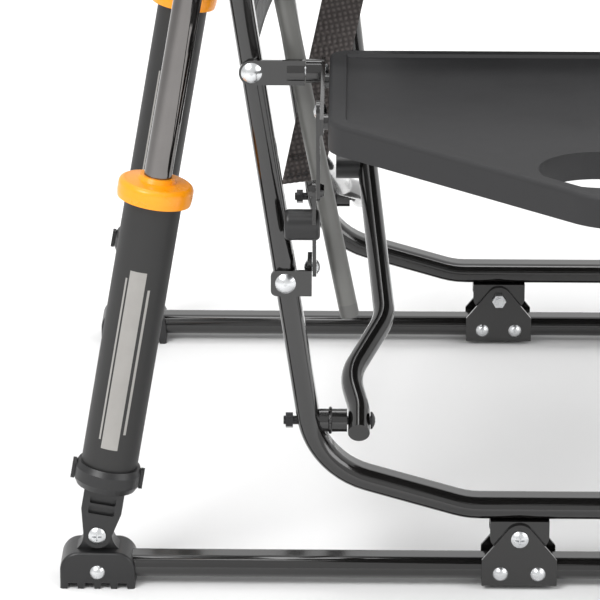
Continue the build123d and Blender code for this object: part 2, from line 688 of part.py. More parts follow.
with BuildPart() as table_brackets:
    for (tube_x, towards), tube_at in zip(ENDS, (upright_x, post_x)):
        end = (tube_x, towards)
        knuckle_x = tube_x + towards * KNUCKLE_AT[1]
        plate = Plane(origin=(0, TABLE_Y - 13.05, 0), x_dir=(1, 0, 0), z_dir=(0, -1, 0))
        with BuildSketch(plate):
            add(bar_outline((tube_x, TABLE_HINGE_Z), (knuckle_x - towards * 8.5, TABLE_HINGE_Z), 17,
                            2.5, (True, False)))
            with Locations((knuckle_x - towards * 12, TABLE_HINGE_Z)):
                Rectangle(24, 17)
        extrude(amount=3)
        plane, depth = slab_x(end, (KNUCKLE_AT[0] - 3, KNUCKLE_AT[1]))
        with BuildSketch(plane):
            with Locations((HINGE_Y, TABLE_HINGE_Z)):
                Circle(8)
        extrude(amount=depth)
        with BuildSketch(plane):
            with Locations((HINGE_Y, TABLE_HINGE_Z)):
                Circle(PIN_R)
        extrude(amount=depth + towards * 6, mode=Mode.SUBTRACT)
        # lower bracket: a plate on the tube with a tab turned in for the brace's foot
        low_x = tube_at(CROSS_Z)
        tab_x = tube_x + towards * TAB_AT[1]
        with BuildSketch(plate):
            with Locations(((low_x + tab_x) / 2 - towards * 5, CROSS_Z)):
                RectangleRounded(abs(tab_x - low_x) + 10, 18, 4)
            with Locations((tab_x - towards * 4, CROSS_Z)):
                Rectangle(8, 18)
            with Locations((low_x, CROSS_Z)):
                Circle(2.5, mode=Mode.SUBTRACT)
        extrude(amount=3)
        plane, depth = slab_x(end, TAB_AT)
        with BuildSketch(plane):
            with BuildLine():
                Polyline((TABLE_Y - 16.05, CROSS_Z - 9), (TABLE_Y + 8, CROSS_Z - 9), (TABLE_Y + 8, LINK_FOOT_Z + 8),
                         (TABLE_Y - 8, LINK_FOOT_Z + 8), (TABLE_Y - 16.05, CROSS_Z + 9), close=True)
            make_face()
            with Locations(LINK_FOOT):
                Circle(PIN_R, mode=Mode.SUBTRACT)
        extrude(amount=depth)
save(table_brackets, "table_brackets")


def cross_place(end, centre, span):
    """Middle of a pin that lies along X between two distances from the frame tube."""
    tube_x, towards = end
    middle = tube_x + towards * (span[0] + span[1]) / 2
    return Location((middle, centre[0], centre[1]), (0, 90 * towards, 0))


HINGE_PIN_AT = (KNUCKLE_AT[0] - 3.0, ARM_AT[1] + 0.2)
FOOT_PIN_AT = (TAB_AT[0], LOWER_AT[1] + 0.2)
TOP_PIN_AT = (UPPER_AT[0] - 0.2, ARM_AT[1])
with BuildPart() as hinge_pin:
    half_length = (HINGE_PIN_AT[1] - HINGE_PIN_AT[0]) / 2
    with BuildSketch(Plane.XY.offset(-half_length)):
        Circle(PIN_R)
    extrude(amount=2 * half_length)
    with BuildSketch(Plane.XY.offset(half_length)):
        Circle(5.4)
    extrude(amount=2.0, taper=25)
foot_pin = rivet(FOOT_PIN_AT[1] - FOOT_PIN_AT[0], PIN_R, 5.2, 2.4)
top_pin = rivet(TOP_PIN_AT[1] - TOP_PIN_AT[0], PIN_R, 5.0, 1.6)
plate_rivet = rivet(TUBE_WIDE + 3.2, 2.5, 7.0, 3.0)
with BuildPart() as table_pins:
    for end, tube_at in zip(ENDS, (upright_x, post_x)):
        with Locations(cross_place(end, (HINGE_Y, TABLE_HINGE_Z), HINGE_PIN_AT)):
            add(hinge_pin.part)
        with Locations(cross_place(end, LINK_FOOT, FOOT_PIN_AT)):
            add(foot_pin)
        for z in (TABLE_HINGE_Z, CROSS_Z):
            with Locations(Location((tube_at(z), TABLE_Y - 1.55, z), (90, 0, 0))):
                add(plate_rivet)
save(table_pins, "table_pins")

with BuildPart() as brace_upper_pins:
    for end in ENDS:
        with Locations(cross_place(end, LINK_TOP, TOP_PIN_AT)):
            add(top_pin)
save(brace_upper_pins, "brace_upper_pins")

GRIP_FROM, GRIP_TO = 33.0, 56.0
LINK_SLOPE = degrees(atan2(KNEE[1] - LINK_FOOT[1], KNEE[0] - LINK_FOOT[0]))


def knee_head(end, face, away):
    """Half of the knee rivet: a domed head standing on one link's outer face."""
    tube_x, towards = end
    return Plane(origin=(tube_x + towards * face, KNEE[0], KNEE[1]), x_dir=(0, 1, 0),
                 z_dir=(towards * away, 0, 0))


with BuildPart() as lower_links:
    for end in ENDS:
        plane, depth = slab_x(end, LOWER_AT)
        with BuildSketch(plane):
            add(bar_outline(LINK_FOOT, KNEE, LINK_WIDE, PIN_R + 0.05, (True, False)))
        extrude(amount=depth)
        with BuildSketch(knee_head(end, LOWER_AT[0], -1)):
            Circle(5.2)
        extrude(amount=2.6, taper=25)
save(lower_links, "lower_links")

with BuildPart() as upper_links:
    for end in ENDS:
        plane, depth = slab_x(end, UPPER_AT)
        with BuildSketch(plane):
            add(bar_outline(KNEE, LINK_TOP, LINK_WIDE, PIN_R + 0.05, (False, True)))
        extrude(amount=depth)
        with BuildSketch(knee_head(end, UPPER_AT[1], 1)):
            Circle(5.2)
        extrude(amount=2.6, taper=25)
save(upper_links, "upper_links")

with BuildPart() as release_grip:
    tube_x, towards = ENDS[0]
    seat = Plane(origin=(tube_x + 22, LINK_FOOT[0], LINK_FOOT[1]), x_dir=(0, 1, 0), z_dir=(1, 0, 0))
    slope = radians(LINK_SLOPE)
    middle = (GRIP_FROM + GRIP_TO) / 2
    with BuildSketch(seat):
        with Locations((middle * cos(slope), middle * sin(slope))):
            SlotOverall(GRIP_TO - GRIP_FROM, 17.5, rotation=LINK_SLOPE)
    extrude(amount=ARM_AT[0] - 0.6 - 22)
    fillet(release_grip.faces().filter_by(Axis.X).edges(), 3.2)
    add(lower_links.part, mode=Mode.SUBTRACT)
save(release_grip, "release_grip")

# ---------------------------------------------------------------- side stay and pull strap
STAY_R = 6.6
STAY_Y = side_y(-1) + 10
STAY_FOOT, STAY_HEAD = (-118.0, 191.0), (-165.5, 424.5)
seat_along = Vector(post_x(SEAT_FRONT_Z) - upright_x(SEAT_REAR_Z), 0, SEAT_FRONT_Z - SEAT_REAR_Z)

stay_foot = Vector(STAY_FOOT[0], STAY_Y, STAY_FOOT[1])
stay_run = Vector(STAY_HEAD[0], STAY_Y, STAY_HEAD[1]) - stay_foot
with BuildPart() as right_rail_solid:
    with BuildSketch(Plane(origin=(upright_x(SEAT_REAR_Z), side_y(-1), SEAT_REAR_Z), z_dir=seat_along)):
        Circle(SEAT_RAIL_R)
    extrude(amount=seat_along.length)

with BuildPart() as side_stay:
    with BuildSketch(Plane(origin=stay_foot + stay_run.normalized() * 10, z_dir=stay_run)):
        Circle(STAY_R)
        Circle(STAY_R - 1.0, mode=Mode.SUBTRACT)
    extrude(amount=stay_run.length - 2)
    add(right_rail_solid.part, mode=Mode.SUBTRACT)
save(side_stay, "side_stay")

with BuildPart() as side_stay_plug:
    with BuildSketch(Plane(origin=stay_foot, z_dir=stay_run)):
        Circle(STAY_R)
    extrude(amount=10)
    fillet(side_stay_plug.faces().sort_by(Axis.Z)[0].edges(), 1.6)
    with BuildSketch(Plane(origin=stay_foot, z_dir=stay_run)):
        Circle(STAY_R - 1.05)
    extrude(amount=22)
save(side_stay_plug, "side_stay_plug")

STRAP_WIDE, STRAP_THICK = 30.0, 2.4
with BuildPart() as pull_strap:
    with BuildSketch(side_plane(side_y(-1) + 50)):
        with BuildLine():
            Polyline((-167, 272), (-137, 276), (-105, 424), (-135, 424), close=True)
        make_face()
    extrude(amount=STRAP_THICK / 2, both=True)
save(pull_strap, "pull_strap")

# ---------------------------------------------------------------- seat and back slings
SLING = 3.0
SEAT_SAG = 26.0
SEAT_X0, SEAT_X1 = -97.0, 172.0
SLEEVE_IN, SLEEVE_OUT = SEAT_RAIL_R + 0.2, SEAT_RAIL_R + 2.6


def sagging_band(half_width, sag, thickness):
    """Arc-shaped band across the chair, with its local x along Y."""
    with BuildSketch() as band:
        with BuildLine():
            upper = ThreePointArc((-half_width, 0), (0, -sag), (half_width, 0))
            down = Line(upper @ 1, (half_width, -thickness))
            lower = ThreePointArc(down @ 1, (0, -sag - thickness), (-half_width, -thickness))
            Line(lower @ 1, upper @ 0)
        make_face()
    return band.sketch


start = (SEAT_X0 - upright_x(SEAT_REAR_Z)) / (post_x(SEAT_FRONT_Z) - upright_x(SEAT_REAR_Z))
seat_start = Vector(upright_x(SEAT_REAR_Z), CHAIR_Y, SEAT_REAR_Z) + seat_along * start
seat_length = seat_along.length * (SEAT_X1 - SEAT_X0) / seat_along.X
with BuildPart() as seat_sling:
    with BuildSketch(Plane(origin=seat_start, x_dir=(0, 1, 0), z_dir=seat_along)):
        add(sagging_band(SIDE_Y - SLEEVE_IN - 0.2, SEAT_SAG, SLING))
        with Locations((-SIDE_Y, 0), (SIDE_Y, 0)):
            Circle(SLEEVE_OUT)
            Circle(SLEEVE_IN, mode=Mode.SUBTRACT)
    extrude(amount=seat_length)
save(seat_sling, "seat_sling")

BACK_FOOT_Z, BACK_TOP_Z = 298.0, 868.0
BACK_HALF = SIDE_Y - 25.0  # inside the shock forks
BACK_SLEEVE_Z = 626.0
BACK_SAG = 16.0
back_foot = Vector(upright_x(BACK_FOOT_Z), CHAIR_Y, BACK_FOOT_Z)
back_run = Vector(upright_x(BACK_TOP_Z) - upright_x(BACK_FOOT_Z), 0, BACK_TOP_Z - BACK_FOOT_Z)
with BuildPart() as back_sling:
    with BuildSketch(Plane(origin=back_foot, x_dir=(0, -1, 0), z_dir=back_run)):
        add(sagging_band(BACK_HALF, BACK_SAG, SLING))
    extrude(amount=back_run.length)
    # above the arms the sling's sides are sleeves that slip over the uprights
    sleeve_foot = back_foot + back_run * ((BACK_SLEEVE_Z - BACK_FOOT_Z) / (BACK_TOP_Z - BACK_FOOT_Z))
    with BuildSketch(Plane(origin=sleeve_foot, x_dir=(0, -1, 0), z_dir=back_run)):
        for hand in (-1, 1):
            with Locations((hand * (BACK_HALF + 7), -SLING / 2)):
                Rectangle(24, SLING)
            with Locations((hand * SIDE_Y, 0)):
                SlotOverall(TUBE_WIDE + 5.2, TUBE_HIGH + 5.2)
                SlotOverall(TUBE_WIDE + 0.4, TUBE_HIGH + 0.4, mode=Mode.SUBTRACT)
    extrude(amount=(back_run * ((BACK_TOP_Z - BACK_SLEEVE_Z) / (BACK_TOP_Z - BACK_FOOT_Z))).length)
save(back_sling, "back_sling")
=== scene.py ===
"""Camp rocking chair: materials, fabric pieces, small hardware, studio, light and camera."""

import json
from math import atan2, cos, hypot, pi, radians, sin

import bpy
import numpy as np
from mathutils import Matrix, Vector


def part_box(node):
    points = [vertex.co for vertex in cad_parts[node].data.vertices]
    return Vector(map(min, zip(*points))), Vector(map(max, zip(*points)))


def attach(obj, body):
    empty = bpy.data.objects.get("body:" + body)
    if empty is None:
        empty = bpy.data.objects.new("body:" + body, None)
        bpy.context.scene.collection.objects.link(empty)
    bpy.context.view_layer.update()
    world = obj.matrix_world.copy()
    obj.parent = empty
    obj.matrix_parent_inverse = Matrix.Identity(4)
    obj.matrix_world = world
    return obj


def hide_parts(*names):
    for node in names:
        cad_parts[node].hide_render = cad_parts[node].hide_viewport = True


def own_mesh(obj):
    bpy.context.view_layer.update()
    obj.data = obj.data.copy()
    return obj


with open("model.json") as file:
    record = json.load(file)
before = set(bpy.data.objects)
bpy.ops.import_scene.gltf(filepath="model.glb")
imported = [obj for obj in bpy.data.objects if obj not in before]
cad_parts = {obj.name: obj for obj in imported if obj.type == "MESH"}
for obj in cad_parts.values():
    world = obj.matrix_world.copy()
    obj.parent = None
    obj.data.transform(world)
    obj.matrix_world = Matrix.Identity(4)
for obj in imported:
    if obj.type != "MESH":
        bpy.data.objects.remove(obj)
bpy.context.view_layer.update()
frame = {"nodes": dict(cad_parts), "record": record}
nodes = frame["nodes"]

# ------------------------------------------------------------------ places, in metres
right_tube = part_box("right_rear_tube")
left_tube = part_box("left_rear_tube")
Y_RIGHT = (right_tube[0][1] + right_tube[1][1]) / 2
Y_LEFT = (left_tube[0][1] + left_tube[1][1]) / 2
Y_MID = (Y_RIGHT + Y_LEFT) / 2
HALF = (Y_LEFT - Y_RIGHT) / 2
SIDES = {"right": (-1, Y_RIGHT), "left": (1, Y_LEFT)}
LEAN = 0.154


def upright_x(z):
    return -0.141 - LEAN * (z - 0.0876)


def post_x(z):
    return 0.203 - 0.011 / 0.5465 * (z - 0.0575)


# ------------------------------------------------------------------ materials
def material(name):
    m = bpy.data.materials.new(name)
    m.use_nodes = True
    tree = m.node_tree
    return m, tree, tree.nodes["Principled BSDF"]


def wire(tree, a, out, b, into):
    tree.links.new(a.outputs[out], b.inputs[into])


def coords(tree, scale=(1, 1, 1), rotation=(0, 0, 0)):
    place = tree.nodes.new("ShaderNodeTexCoord")
    mapping = tree.nodes.new("ShaderNodeMapping")
    mapping.inputs["Scale"].default_value = scale
    mapping.inputs["Rotation"].default_value = rotation
    wire(tree, place, "Object", mapping, "Vector")
    return mapping


def noise(tree, source, scale, detail=4.0, roughness=0.55):
    n = tree.nodes.new("ShaderNodeTexNoise")
    n.inputs["Scale"].default_value = scale
    n.inputs["Detail"].default_value = detail
    n.inputs["Roughness"].default_value = roughness
    wire(tree, source, "Vector", n, "Vector")
    return n


def ramp(tree, source, out, stops):
    r = tree.nodes.new("ShaderNodeValToRGB")
    r.color_ramp.elements[0].position, r.color_ramp.elements[0].color = stops[0]
    r.color_ramp.elements[1].position, r.color_ramp.elements[1].color = stops[-1]
    for position, colour in stops[1:-1]:
        r.color_ramp.elements.new(position).color = colour
    wire(tree, source, out, r, "Fac")
    return r


def grey(v):
    return (v, v, v, 1)


def tone(colour, factor):
    return tuple(min(1, c * factor) for c in colour) + (1,)


def bump(tree, shader, source, out, strength, distance, under=None):
    b = tree.nodes.new("ShaderNodeBump")
    b.inputs["Strength"].default_value = strength
    b.inputs["Distance"].default_value = distance
    wire(tree, source, out, b, "Height")
    if under:
        wire(tree, under, "Normal", b, "Normal")
    wire(tree, b, "Normal", shader, "Normal")
    return b


def varied(name, colour, spread, low, high, blotch, grain, depth,
           metallic=0.0, specular=0.5, coat=0.0):
    """A surface whose colour and roughness wander a little, with a fine grain."""
    m, tree, shader = material(name)
    place = coords(tree)
    broad = noise(tree, place, blotch, 5.0)
    tint = ramp(tree, broad, "Fac", [(0.3, tone(colour, 1 - spread)), (0.7, tone(colour, 1 + spread))])
    wire(tree, tint, "Color", shader, "Base Color")
    rough = ramp(tree, broad, "Fac", [(0.25, grey(low)), (0.75, grey(high))])
    wire(tree, rough, "Color", shader, "Roughness")
    fine = noise(tree, place, grain, 3.0, 0.6)
    bump(tree, shader, fine, "Fac", 0.35, depth)
    shader.inputs["Metallic"].default_value = metallic
    shader.inputs["Specular IOR Level"].default_value = specular
    shader.inputs["Coat Weight"].default_value = coat
    shader.inputs["Coat Roughness"].default_value = 0.06
    return m


def woven(name, colour, pitch, rotation, depth=0.00035):
    """Cloth of warp and weft threads along two local axes."""
    m, tree, shader = material(name)
    place = coords(tree, (1, 1, 1), rotation)
    height = None
    for direction in ("X", "Y"):
        wave = tree.nodes.new("ShaderNodeTexWave")
        wave.wave_type, wave.bands_direction, wave.wave_profile = "BANDS", direction, "SIN"
        wave.inputs["Scale"].default_value = 1 / (pitch * 20) * pi
        wave.inputs["Distortion"].default_value = 0.25
        wave.inputs["Detail"].default_value = 1.0
        wire(tree, place, "Vector", wave, "Vector")
        if height is None:
            height = wave
        else:
            join = tree.nodes.new("ShaderNodeMath")
            join.operation = "MULTIPLY"
            wire(tree, height, "Fac", join, 0)
            wire(tree, wave, "Fac", join, 1)
            height = join
    out = "Value"
    broad = noise(tree, place, 24, 5.0)
    fine = noise(tree, place, 900, 2.0)
    # painted shade in the low points of the weave and painted highlight on the thread crowns, keyed to the
    # weave height
    tint = ramp(tree, height, out,
                [(0.0, tone(colour, 0.55)), (0.45, tone(colour, 0.95)), (1.0, tone(colour, 1.3))])
    mix = tree.nodes.new("ShaderNodeMix")
    mix.data_type, mix.blend_type = "RGBA", "MULTIPLY"
    mix.inputs["Factor"].default_value = 0.7
    wire(tree, tint, "Color", mix, "A")
    shade = ramp(tree, broad, "Fac", [(0.3, grey(0.78)), (0.7, grey(1.1))])
    wire(tree, shade, "Color", mix, "B")
    wire(tree, mix, "Result", shader, "Base Color")
    rough = ramp(tree, fine, "Fac", [(0.2, grey(0.72)), (0.8, grey(0.92))])
    wire(tree, rough, "Color", shader, "Roughness")
    first = tree.nodes.new("ShaderNodeBump")
    first.inputs["Strength"].default_value = 0.3
    first.inputs["Distance"].default_value = 0.0004
    wire(tree, fine, "Fac", first, "Height")
    bump(tree, shader, height, out, 0.8, depth, under=first)
    shader.inputs["Sheen Weight"].default_value = 0.25
    shader.inputs["Sheen Roughness"].default_value = 0.45
    shader.inputs["Specular IOR Level"].default_value = 0.3
    return m


MATERIALS = {
    "frame_paint": varied("frame_paint", (0.0062, 0.0058, 0.0056), 0.12, 0.10, 0.17, 16, 900, 0.00006,
                          specular=0.62, coat=0.35),
    "foot_plastic": varied("foot_plastic", (0.011, 0.011, 0.0115), 0.16, 0.30, 0.42, 30, 2600, 0.00010),
    "shock_shell": varied("shock_shell", (0.0155, 0.0152, 0.015), 0.14, 0.46, 0.58, 26, 2200, 0.00008),
    "orange_plastic": varied("orange_plastic", (1.0, 0.33, 0.003), 0.05, 0.22, 0.32, 30, 1800, 0.00006),
    "chrome": varied("chrome", (0.17, 0.162, 0.158), 0.05, 0.05, 0.10, 40, 2400, 0.00002, metallic=1.0),
    "zinc": varied("zinc", (0.66, 0.67, 0.68), 0.09, 0.20, 0.34, 60, 2600, 0.00004, metallic=1.0),
    "black_zinc": varied("black_zinc", (0.035, 0.035, 0.036), 0.1, 0.22, 0.34, 60, 2600, 0.00004,
                         metallic=1.0),
    "spring_steel": varied("spring_steel", (0.35, 0.36, 0.38), 0.08, 0.3, 0.42, 50, 2600, 0.00005,
                           metallic=1.0),
    "grey_paint": varied("grey_paint", (0.125, 0.125, 0.118), 0.07, 0.28, 0.38, 22, 1500, 0.00006),
    "grey_plastic": varied("grey_plastic", (0.10, 0.10, 0.096), 0.08, 0.36, 0.48, 26, 2400, 0.00008),
    "table_plastic": varied("table_plastic", (0.0185, 0.0185, 0.0195), 0.10, 0.52, 0.66, 18, 1300,
                            0.00022, specular=0.35),
    "arm_foam": varied("arm_foam", (0.013, 0.013, 0.0135), 0.18, 0.48, 0.62, 24, 1500, 0.00020),
    "sling_fabric": woven("sling_fabric", (0.017, 0.018, 0.018), 0.0011, (0, 0, 0)),
    "back_fabric": woven("back_fabric", (0.017, 0.018, 0.018), 0.0011, (radians(90), 0, 0)),
    "webbing": woven("webbing", (0.105, 0.092, 0.088), 0.0018, (radians(90), 0, radians(12)),
                     depth=0.0006),
    "weld": varied("weld", (0.0065, 0.006, 0.006), 0.15, 0.14, 0.24, 40, 420, 0.0005, specular=0.6, coat=0.3),
    "thread": varied("thread", (0.045, 0.045, 0.046), 0.2, 0.6, 0.75, 200, 3000, 0.0001),
    "decal": varied("decal", (0.30, 0.29, 0.275), 0.06, 0.34, 0.44, 40, 2000, 0.00003),
}
for part in frame["record"]["subparts"]:
    shown = nodes[part["node"]]
    shown.data.materials.clear()
    shown.data.materials.append(MATERIALS[part["material_slot"]])


# ------------------------------------------------------------------ mesh helpers
def mesh_piece(name, vertices, faces, finish, body=None, smooth=True):
    data = bpy.data.meshes.new(name)
    data.from_pydata([tuple(v) for v in vertices], [], faces)
    data.update()
    piece = bpy.data.objects.new(name, data)
    bpy.context.scene.collection.objects.link(piece)
    data.materials.append(MATERIALS[finish])
    if smooth:
        for polygon in data.polygons:
            polygon.use_smooth = True
    if body:
        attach(piece, body)
    return piece


def apply_modifiers(piece):
    graph = bpy.context.evaluated_depsgraph_get()
    done = bpy.data.meshes.new_from_object(piece.evaluated_get(graph))
    piece.modifiers.clear()
    piece.data = done


def cloth_grid(name, rows, finish, thickness):
    """A sheet through rows of points, given a small thickness."""
    wide = len(rows[0])
    vertices = [p for row in rows for p in row]
    faces = [(i * wide + j, i * wide + j + 1, (i + 1) * wide + j + 1, (i + 1) * wide + j)
             for i in range(len(rows) - 1) for j in range(wide - 1)]
    piece = mesh_piece(name, vertices, faces, finish)
    solid = piece.modifiers.new("solid", "SOLIDIFY")
    solid.thickness, solid.offset = thickness, 0
    apply_modifiers(piece)
    for polygon in piece.data.polygons:
        polygon.use_smooth = True
    return piece


def tube_along(points, radius, ring=8):
    """Vertices and faces of a closed-ended round bead along points."""
    points = [Vector(p) for p in points]
    vertices, faces = [], []
    for i, p in enumerate(points):
        run = (points[min(i + 1, len(points) - 1)] - points[max(i - 1, 0)]).normalized()
        side = run.cross(Vector((0.31, 0.52, 0.79))).normalized()
        other = run.cross(side)
        for k in range(ring):
            a = 2 * pi * k / ring
            vertices.append(p + radius * (cos(a) * side + sin(a) * other))
    for i in range(len(points) - 1):
        for k in range(ring):
            n = (k + 1) % ring
            faces.append((i * ring + k, i * ring + n, (i + 1) * ring + n, (i + 1) * ring + k))
    faces.append(tuple(range(ring))[::-1])
    faces.append(tuple((len(points) - 1) * ring + k for k in range(ring)))
    return vertices, faces


def stitches(name, lines, body, length=0.0032, gap=0.0018, radius=0.00042):
    """Rows of raised thread dashes; each line is a list of points just above the cloth."""
    vertices, faces = [], []
    for line in lines:
        line = [Vector(p) for p in line]
        along, total = [0.0], 0.0
        for a, b in zip(line, line[1:]):
            total += (b - a).length
            along.append(total)

        def at(s):
            for i in range(len(line) - 1):
                if s <= along[i + 1] or i == len(line) - 2:
                    t = (s - along[i]) / max(along[i + 1] - along[i], 1e-9)
                    return line[i].lerp(line[i + 1], min(max(t, 0), 1))

        s = gap
        while s + length < total:
            v, f = tube_along([at(s), at(s + length / 2), at(s + length)], radius, 5)
            base = len(vertices)
            vertices += v
            faces += [tuple(base + q for q in face) for face in f]
            s += length + gap
    return mesh_piece(name, vertices, faces, "thread", body)


# ------------------------------------------------------------------ seat sling
CLOTH = 0.0014
SEAT_X0, SEAT_X1 = -0.095, 0.170
SEAT_REACH, SEAT_LOW, SEAT_RISE = HALF - 0.0031, -0.0272, 0.0378
SLEEVE_R = 0.0110


def rail_z(x):
    x0, x1 = upright_x(0.432), post_x(0.450)
    return 0.432 + 0.018 * (x - x0) / (x1 - x0)


def seat_section():
    """Half of the seat's panel and its sleeve: (distance from the mid-plane, height over the rail)."""
    panel = [(SEAT_REACH * i / 34, SEAT_LOW + SEAT_RISE * (i / 34) ** 2) for i in range(35)]
    leave = atan2(0.0105, 0.0031)
    loop = [(HALF - SLEEVE_R * cos(leave + t), SLEEVE_R * sin(leave + t))
            for t in np.linspace(0.12, 2 * pi - 1.15, 26)]
    return panel, loop


def seat_wrinkle(y, x):
    edge = max(0.0, abs(y) / HALF - 0.55) / 0.45
    return 0.0011 * edge * sin(x * 210 + 3 * sin(y * 18)) + 0.0009 * sin(x * 61 + y * 23)


panel, loop = seat_section()
columns = [(-y, z) for y, z in panel[:0:-1]] + panel
xs = np.linspace(SEAT_X0, SEAT_X1, 61)
rows = []
for x in xs:
    rows.append([(x, Y_MID + y, rail_z(x) + z + seat_wrinkle(y, x)) for y, z in columns])
seat = cloth_grid("seat_panel", rows, "sling_fabric", CLOTH)
sleeves = []
for name, (side, y_side) in SIDES.items():
    rows = []
    for x in xs:
        rows.append([(x, Y_MID + side * y, rail_z(x) + z + 0.00025 * sin(x * 190 + i))
                     for i, (y, z) in enumerate(loop)])
    sleeves.append(cloth_grid(f"seat_sleeve_{name}", rows, "sling_fabric", CLOTH))
    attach(sleeves[-1], f"{name}_frame")

hem_lines, side_lines = [], []
for x in (SEAT_X0 + 0.014, SEAT_X0 + 0.018, SEAT_X1 - 0.018, SEAT_X1 - 0.014):
    hem_lines.append([(x, Y_MID + y, rail_z(x) + z + seat_wrinkle(y, x) + CLOTH / 2)
                      for y, z in columns[2:-2]])
for reach in (0.238, 0.243):
    for side in (-1, 1):
        z = SEAT_LOW + SEAT_RISE * (reach / SEAT_REACH) ** 2
        hem_lines.append([(x, Y_MID + side * reach, rail_z(x) + z + seat_wrinkle(side * reach, x) + CLOTH / 2)
                          for x in xs[1:-1]])
seat_stitches = stitches("seat_stitches", hem_lines, None)
hems = []
for tag, x0, x1 in (("rear", SEAT_X0, SEAT_X0 + 0.022), ("front", SEAT_X1 - 0.022, SEAT_X1)):
    rows = []
    for x in np.linspace(x0, x1, 7):
        rows.append([(x, Y_MID + y, rail_z(x) + z + seat_wrinkle(y, x) - CLOTH) for y, z in columns[1:-1]])
    hems.append(cloth_grid(f"seat_hem_{tag}", rows, "sling_fabric", CLOTH))

seat_parts = [seat, seat_stitches] + hems
for piece in seat_parts:
    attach(piece, "right_frame")
    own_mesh(piece)
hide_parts("seat_sling")


# ------------------------------------------------------------------ back sling
BACK_Z0, BACK_Z1, SLEEVE_Z = 0.300, 0.866, 0.628
BACK_HALF = HALF - 0.025
up = Vector((-LEAN, 0, 1)).normalized()
ahead = Vector((1, 0, LEAN)).normalized()


def back_point(y, z, forward):
    foot = Vector((upright_x(z), Y_MID + y, z))
    return foot + ahead * forward


def back_wrinkle(y, z):
    edge = max(0.0, abs(y) / BACK_HALF - 0.6) / 0.4
    return 0.0010 * edge * sin(z * 150 + 2 * sin(y * 12)) + 0.0008 * sin(z * 43 + y * 17)


def back_bow(y):
    return -0.0165 * (1 - (y / BACK_HALF) ** 2) - 0.0008


ys = np.linspace(-BACK_HALF, BACK_HALF, 61)
zs = np.linspace(BACK_Z0, BACK_Z1, 91)
rows = [[back_point(y, z, back_bow(y) + back_wrinkle(y, z)) for y in ys] for z in zs]
back = cloth_grid("back_panel", rows, "back_fabric", CLOTH)

wing = [(BACK_HALF, -0.0008), (BACK_HALF + 0.004, 0.0012), (BACK_HALF + 0.009, 0.0045),
        (BACK_HALF + 0.014, 0.0077), (HALF - 0.0055, 0.0092)]
wing += [(HALF + 0.00525 + 0.0093 * sin(t), 0.0093 * cos(t)) for t in np.linspace(0, pi, 12)]
wing += [(HALF - 0.00525 - 0.0093 * sin(t), -0.0093 * cos(t)) for t in np.linspace(0, 0.8, 4)]
wing += [(HALF - 0.0185, -0.0042), (BACK_HALF + 0.001, -0.0030)]
wing_zs = np.linspace(SLEEVE_Z, BACK_Z1, 41)
wings = []
for name, (side, y_side) in SIDES.items():
    rows = [[back_point(side * y, z, f + 0.0003 * sin(z * 160 + i)) for i, (y, f) in enumerate(wing)]
            for z in wing_zs]
    wings.append(cloth_grid(f"back_sleeve_{name}", rows, "back_fabric", CLOTH))
    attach(wings[-1], f"{name}_frame")

lines = []
for z in (BACK_Z0 + 0.020, BACK_Z0 + 0.024, BACK_Z1 - 0.024, BACK_Z1 - 0.020):
    for face in (1, -1):
        lines.append([back_point(y, z, back_bow(y) + back_wrinkle(y, z) + face * CLOTH / 2)
                      for y in ys[1:-1]])
for y in (BACK_HALF - 0.012, BACK_HALF - 0.016):
    for side in (-1, 1):
        for face in (1, -1):
            lines.append([back_point(side * y, z, back_bow(y) + back_wrinkle(side * y, z) + face * CLOTH / 2)
                          for z in zs[2:-2]])
back_stitches = stitches("back_stitches", lines, None)
back_hems = []
for tag, span in (("lower", (BACK_Z0, BACK_Z0 + 0.028)), ("upper", (BACK_Z1 - 0.028, BACK_Z1))):
    rows = [[back_point(y, z, back_bow(y) + back_wrinkle(y, z) - CLOTH) for y in ys]
            for z in np.linspace(*span, 7)]
    back_hems.append(cloth_grid(f"back_hem_{tag}", rows, "back_fabric", CLOTH))
for tag, side in (("right", -1), ("left", 1)):
    rows = [[back_point(side * y, z, back_bow(y) + back_wrinkle(side * y, z) - CLOTH)
             for y in np.linspace(BACK_HALF - 0.020, BACK_HALF - 0.0002, 6)] for z in zs[5:-5]]
    back_hems.append(cloth_grid(f"back_side_hem_{tag}", rows, "back_fabric", CLOTH))
for piece in [back, back_stitches] + back_hems:
    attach(piece, "right_frame")
    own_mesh(piece)
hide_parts("back_sling")

# ------------------------------------------------------------------ pull strap
strap_y = Y_RIGHT + 0.050
low_a, low_b = Vector((-0.1655, strap_y, 0.2735)), Vector((-0.1375, strap_y, 0.2772))
high_a, high_b = Vector((-0.1345, strap_y, 0.4225)), Vector((-0.1065, strap_y, 0.4225))
rows = []
for t in np.linspace(0, 1, 60):
    left, right = low_a.lerp(high_a, t), low_b.lerp(high_b, t)
    sway = 0.0007 * sin(t * 5.2) + 0.0003 * sin(t * 31)
    rows.append([left.lerp(right, s) + Vector((0, sway + 0.00035 * cos(s * pi * 14), 0))
                 for s in np.linspace(0, 1, 45)])
strap = cloth_grid("pull_webbing", rows, "webbing", 0.0013)
fold_rows = [[p + Vector((0, -0.0010, 0)) for p in row] for row in rows[:9]]
strap_fold = cloth_grid("pull_webbing_fold", fold_rows, "webbing", 0.0007)
strap_lines = []
for t in (0.03, 0.045, 0.115, 0.13):
    a, b = low_a.lerp(high_a, t), low_b.lerp(high_b, t)
    strap_lines.append([a.lerp(b, s) + Vector((0, -0.0016, 0)) for s in np.linspace(0.06, 0.94, 8)])
strap_thread = stitches("pull_stitches", strap_lines, None)
for piece in (strap, strap_fold, strap_thread):
    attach(piece, "right_frame")
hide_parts("pull_strap")


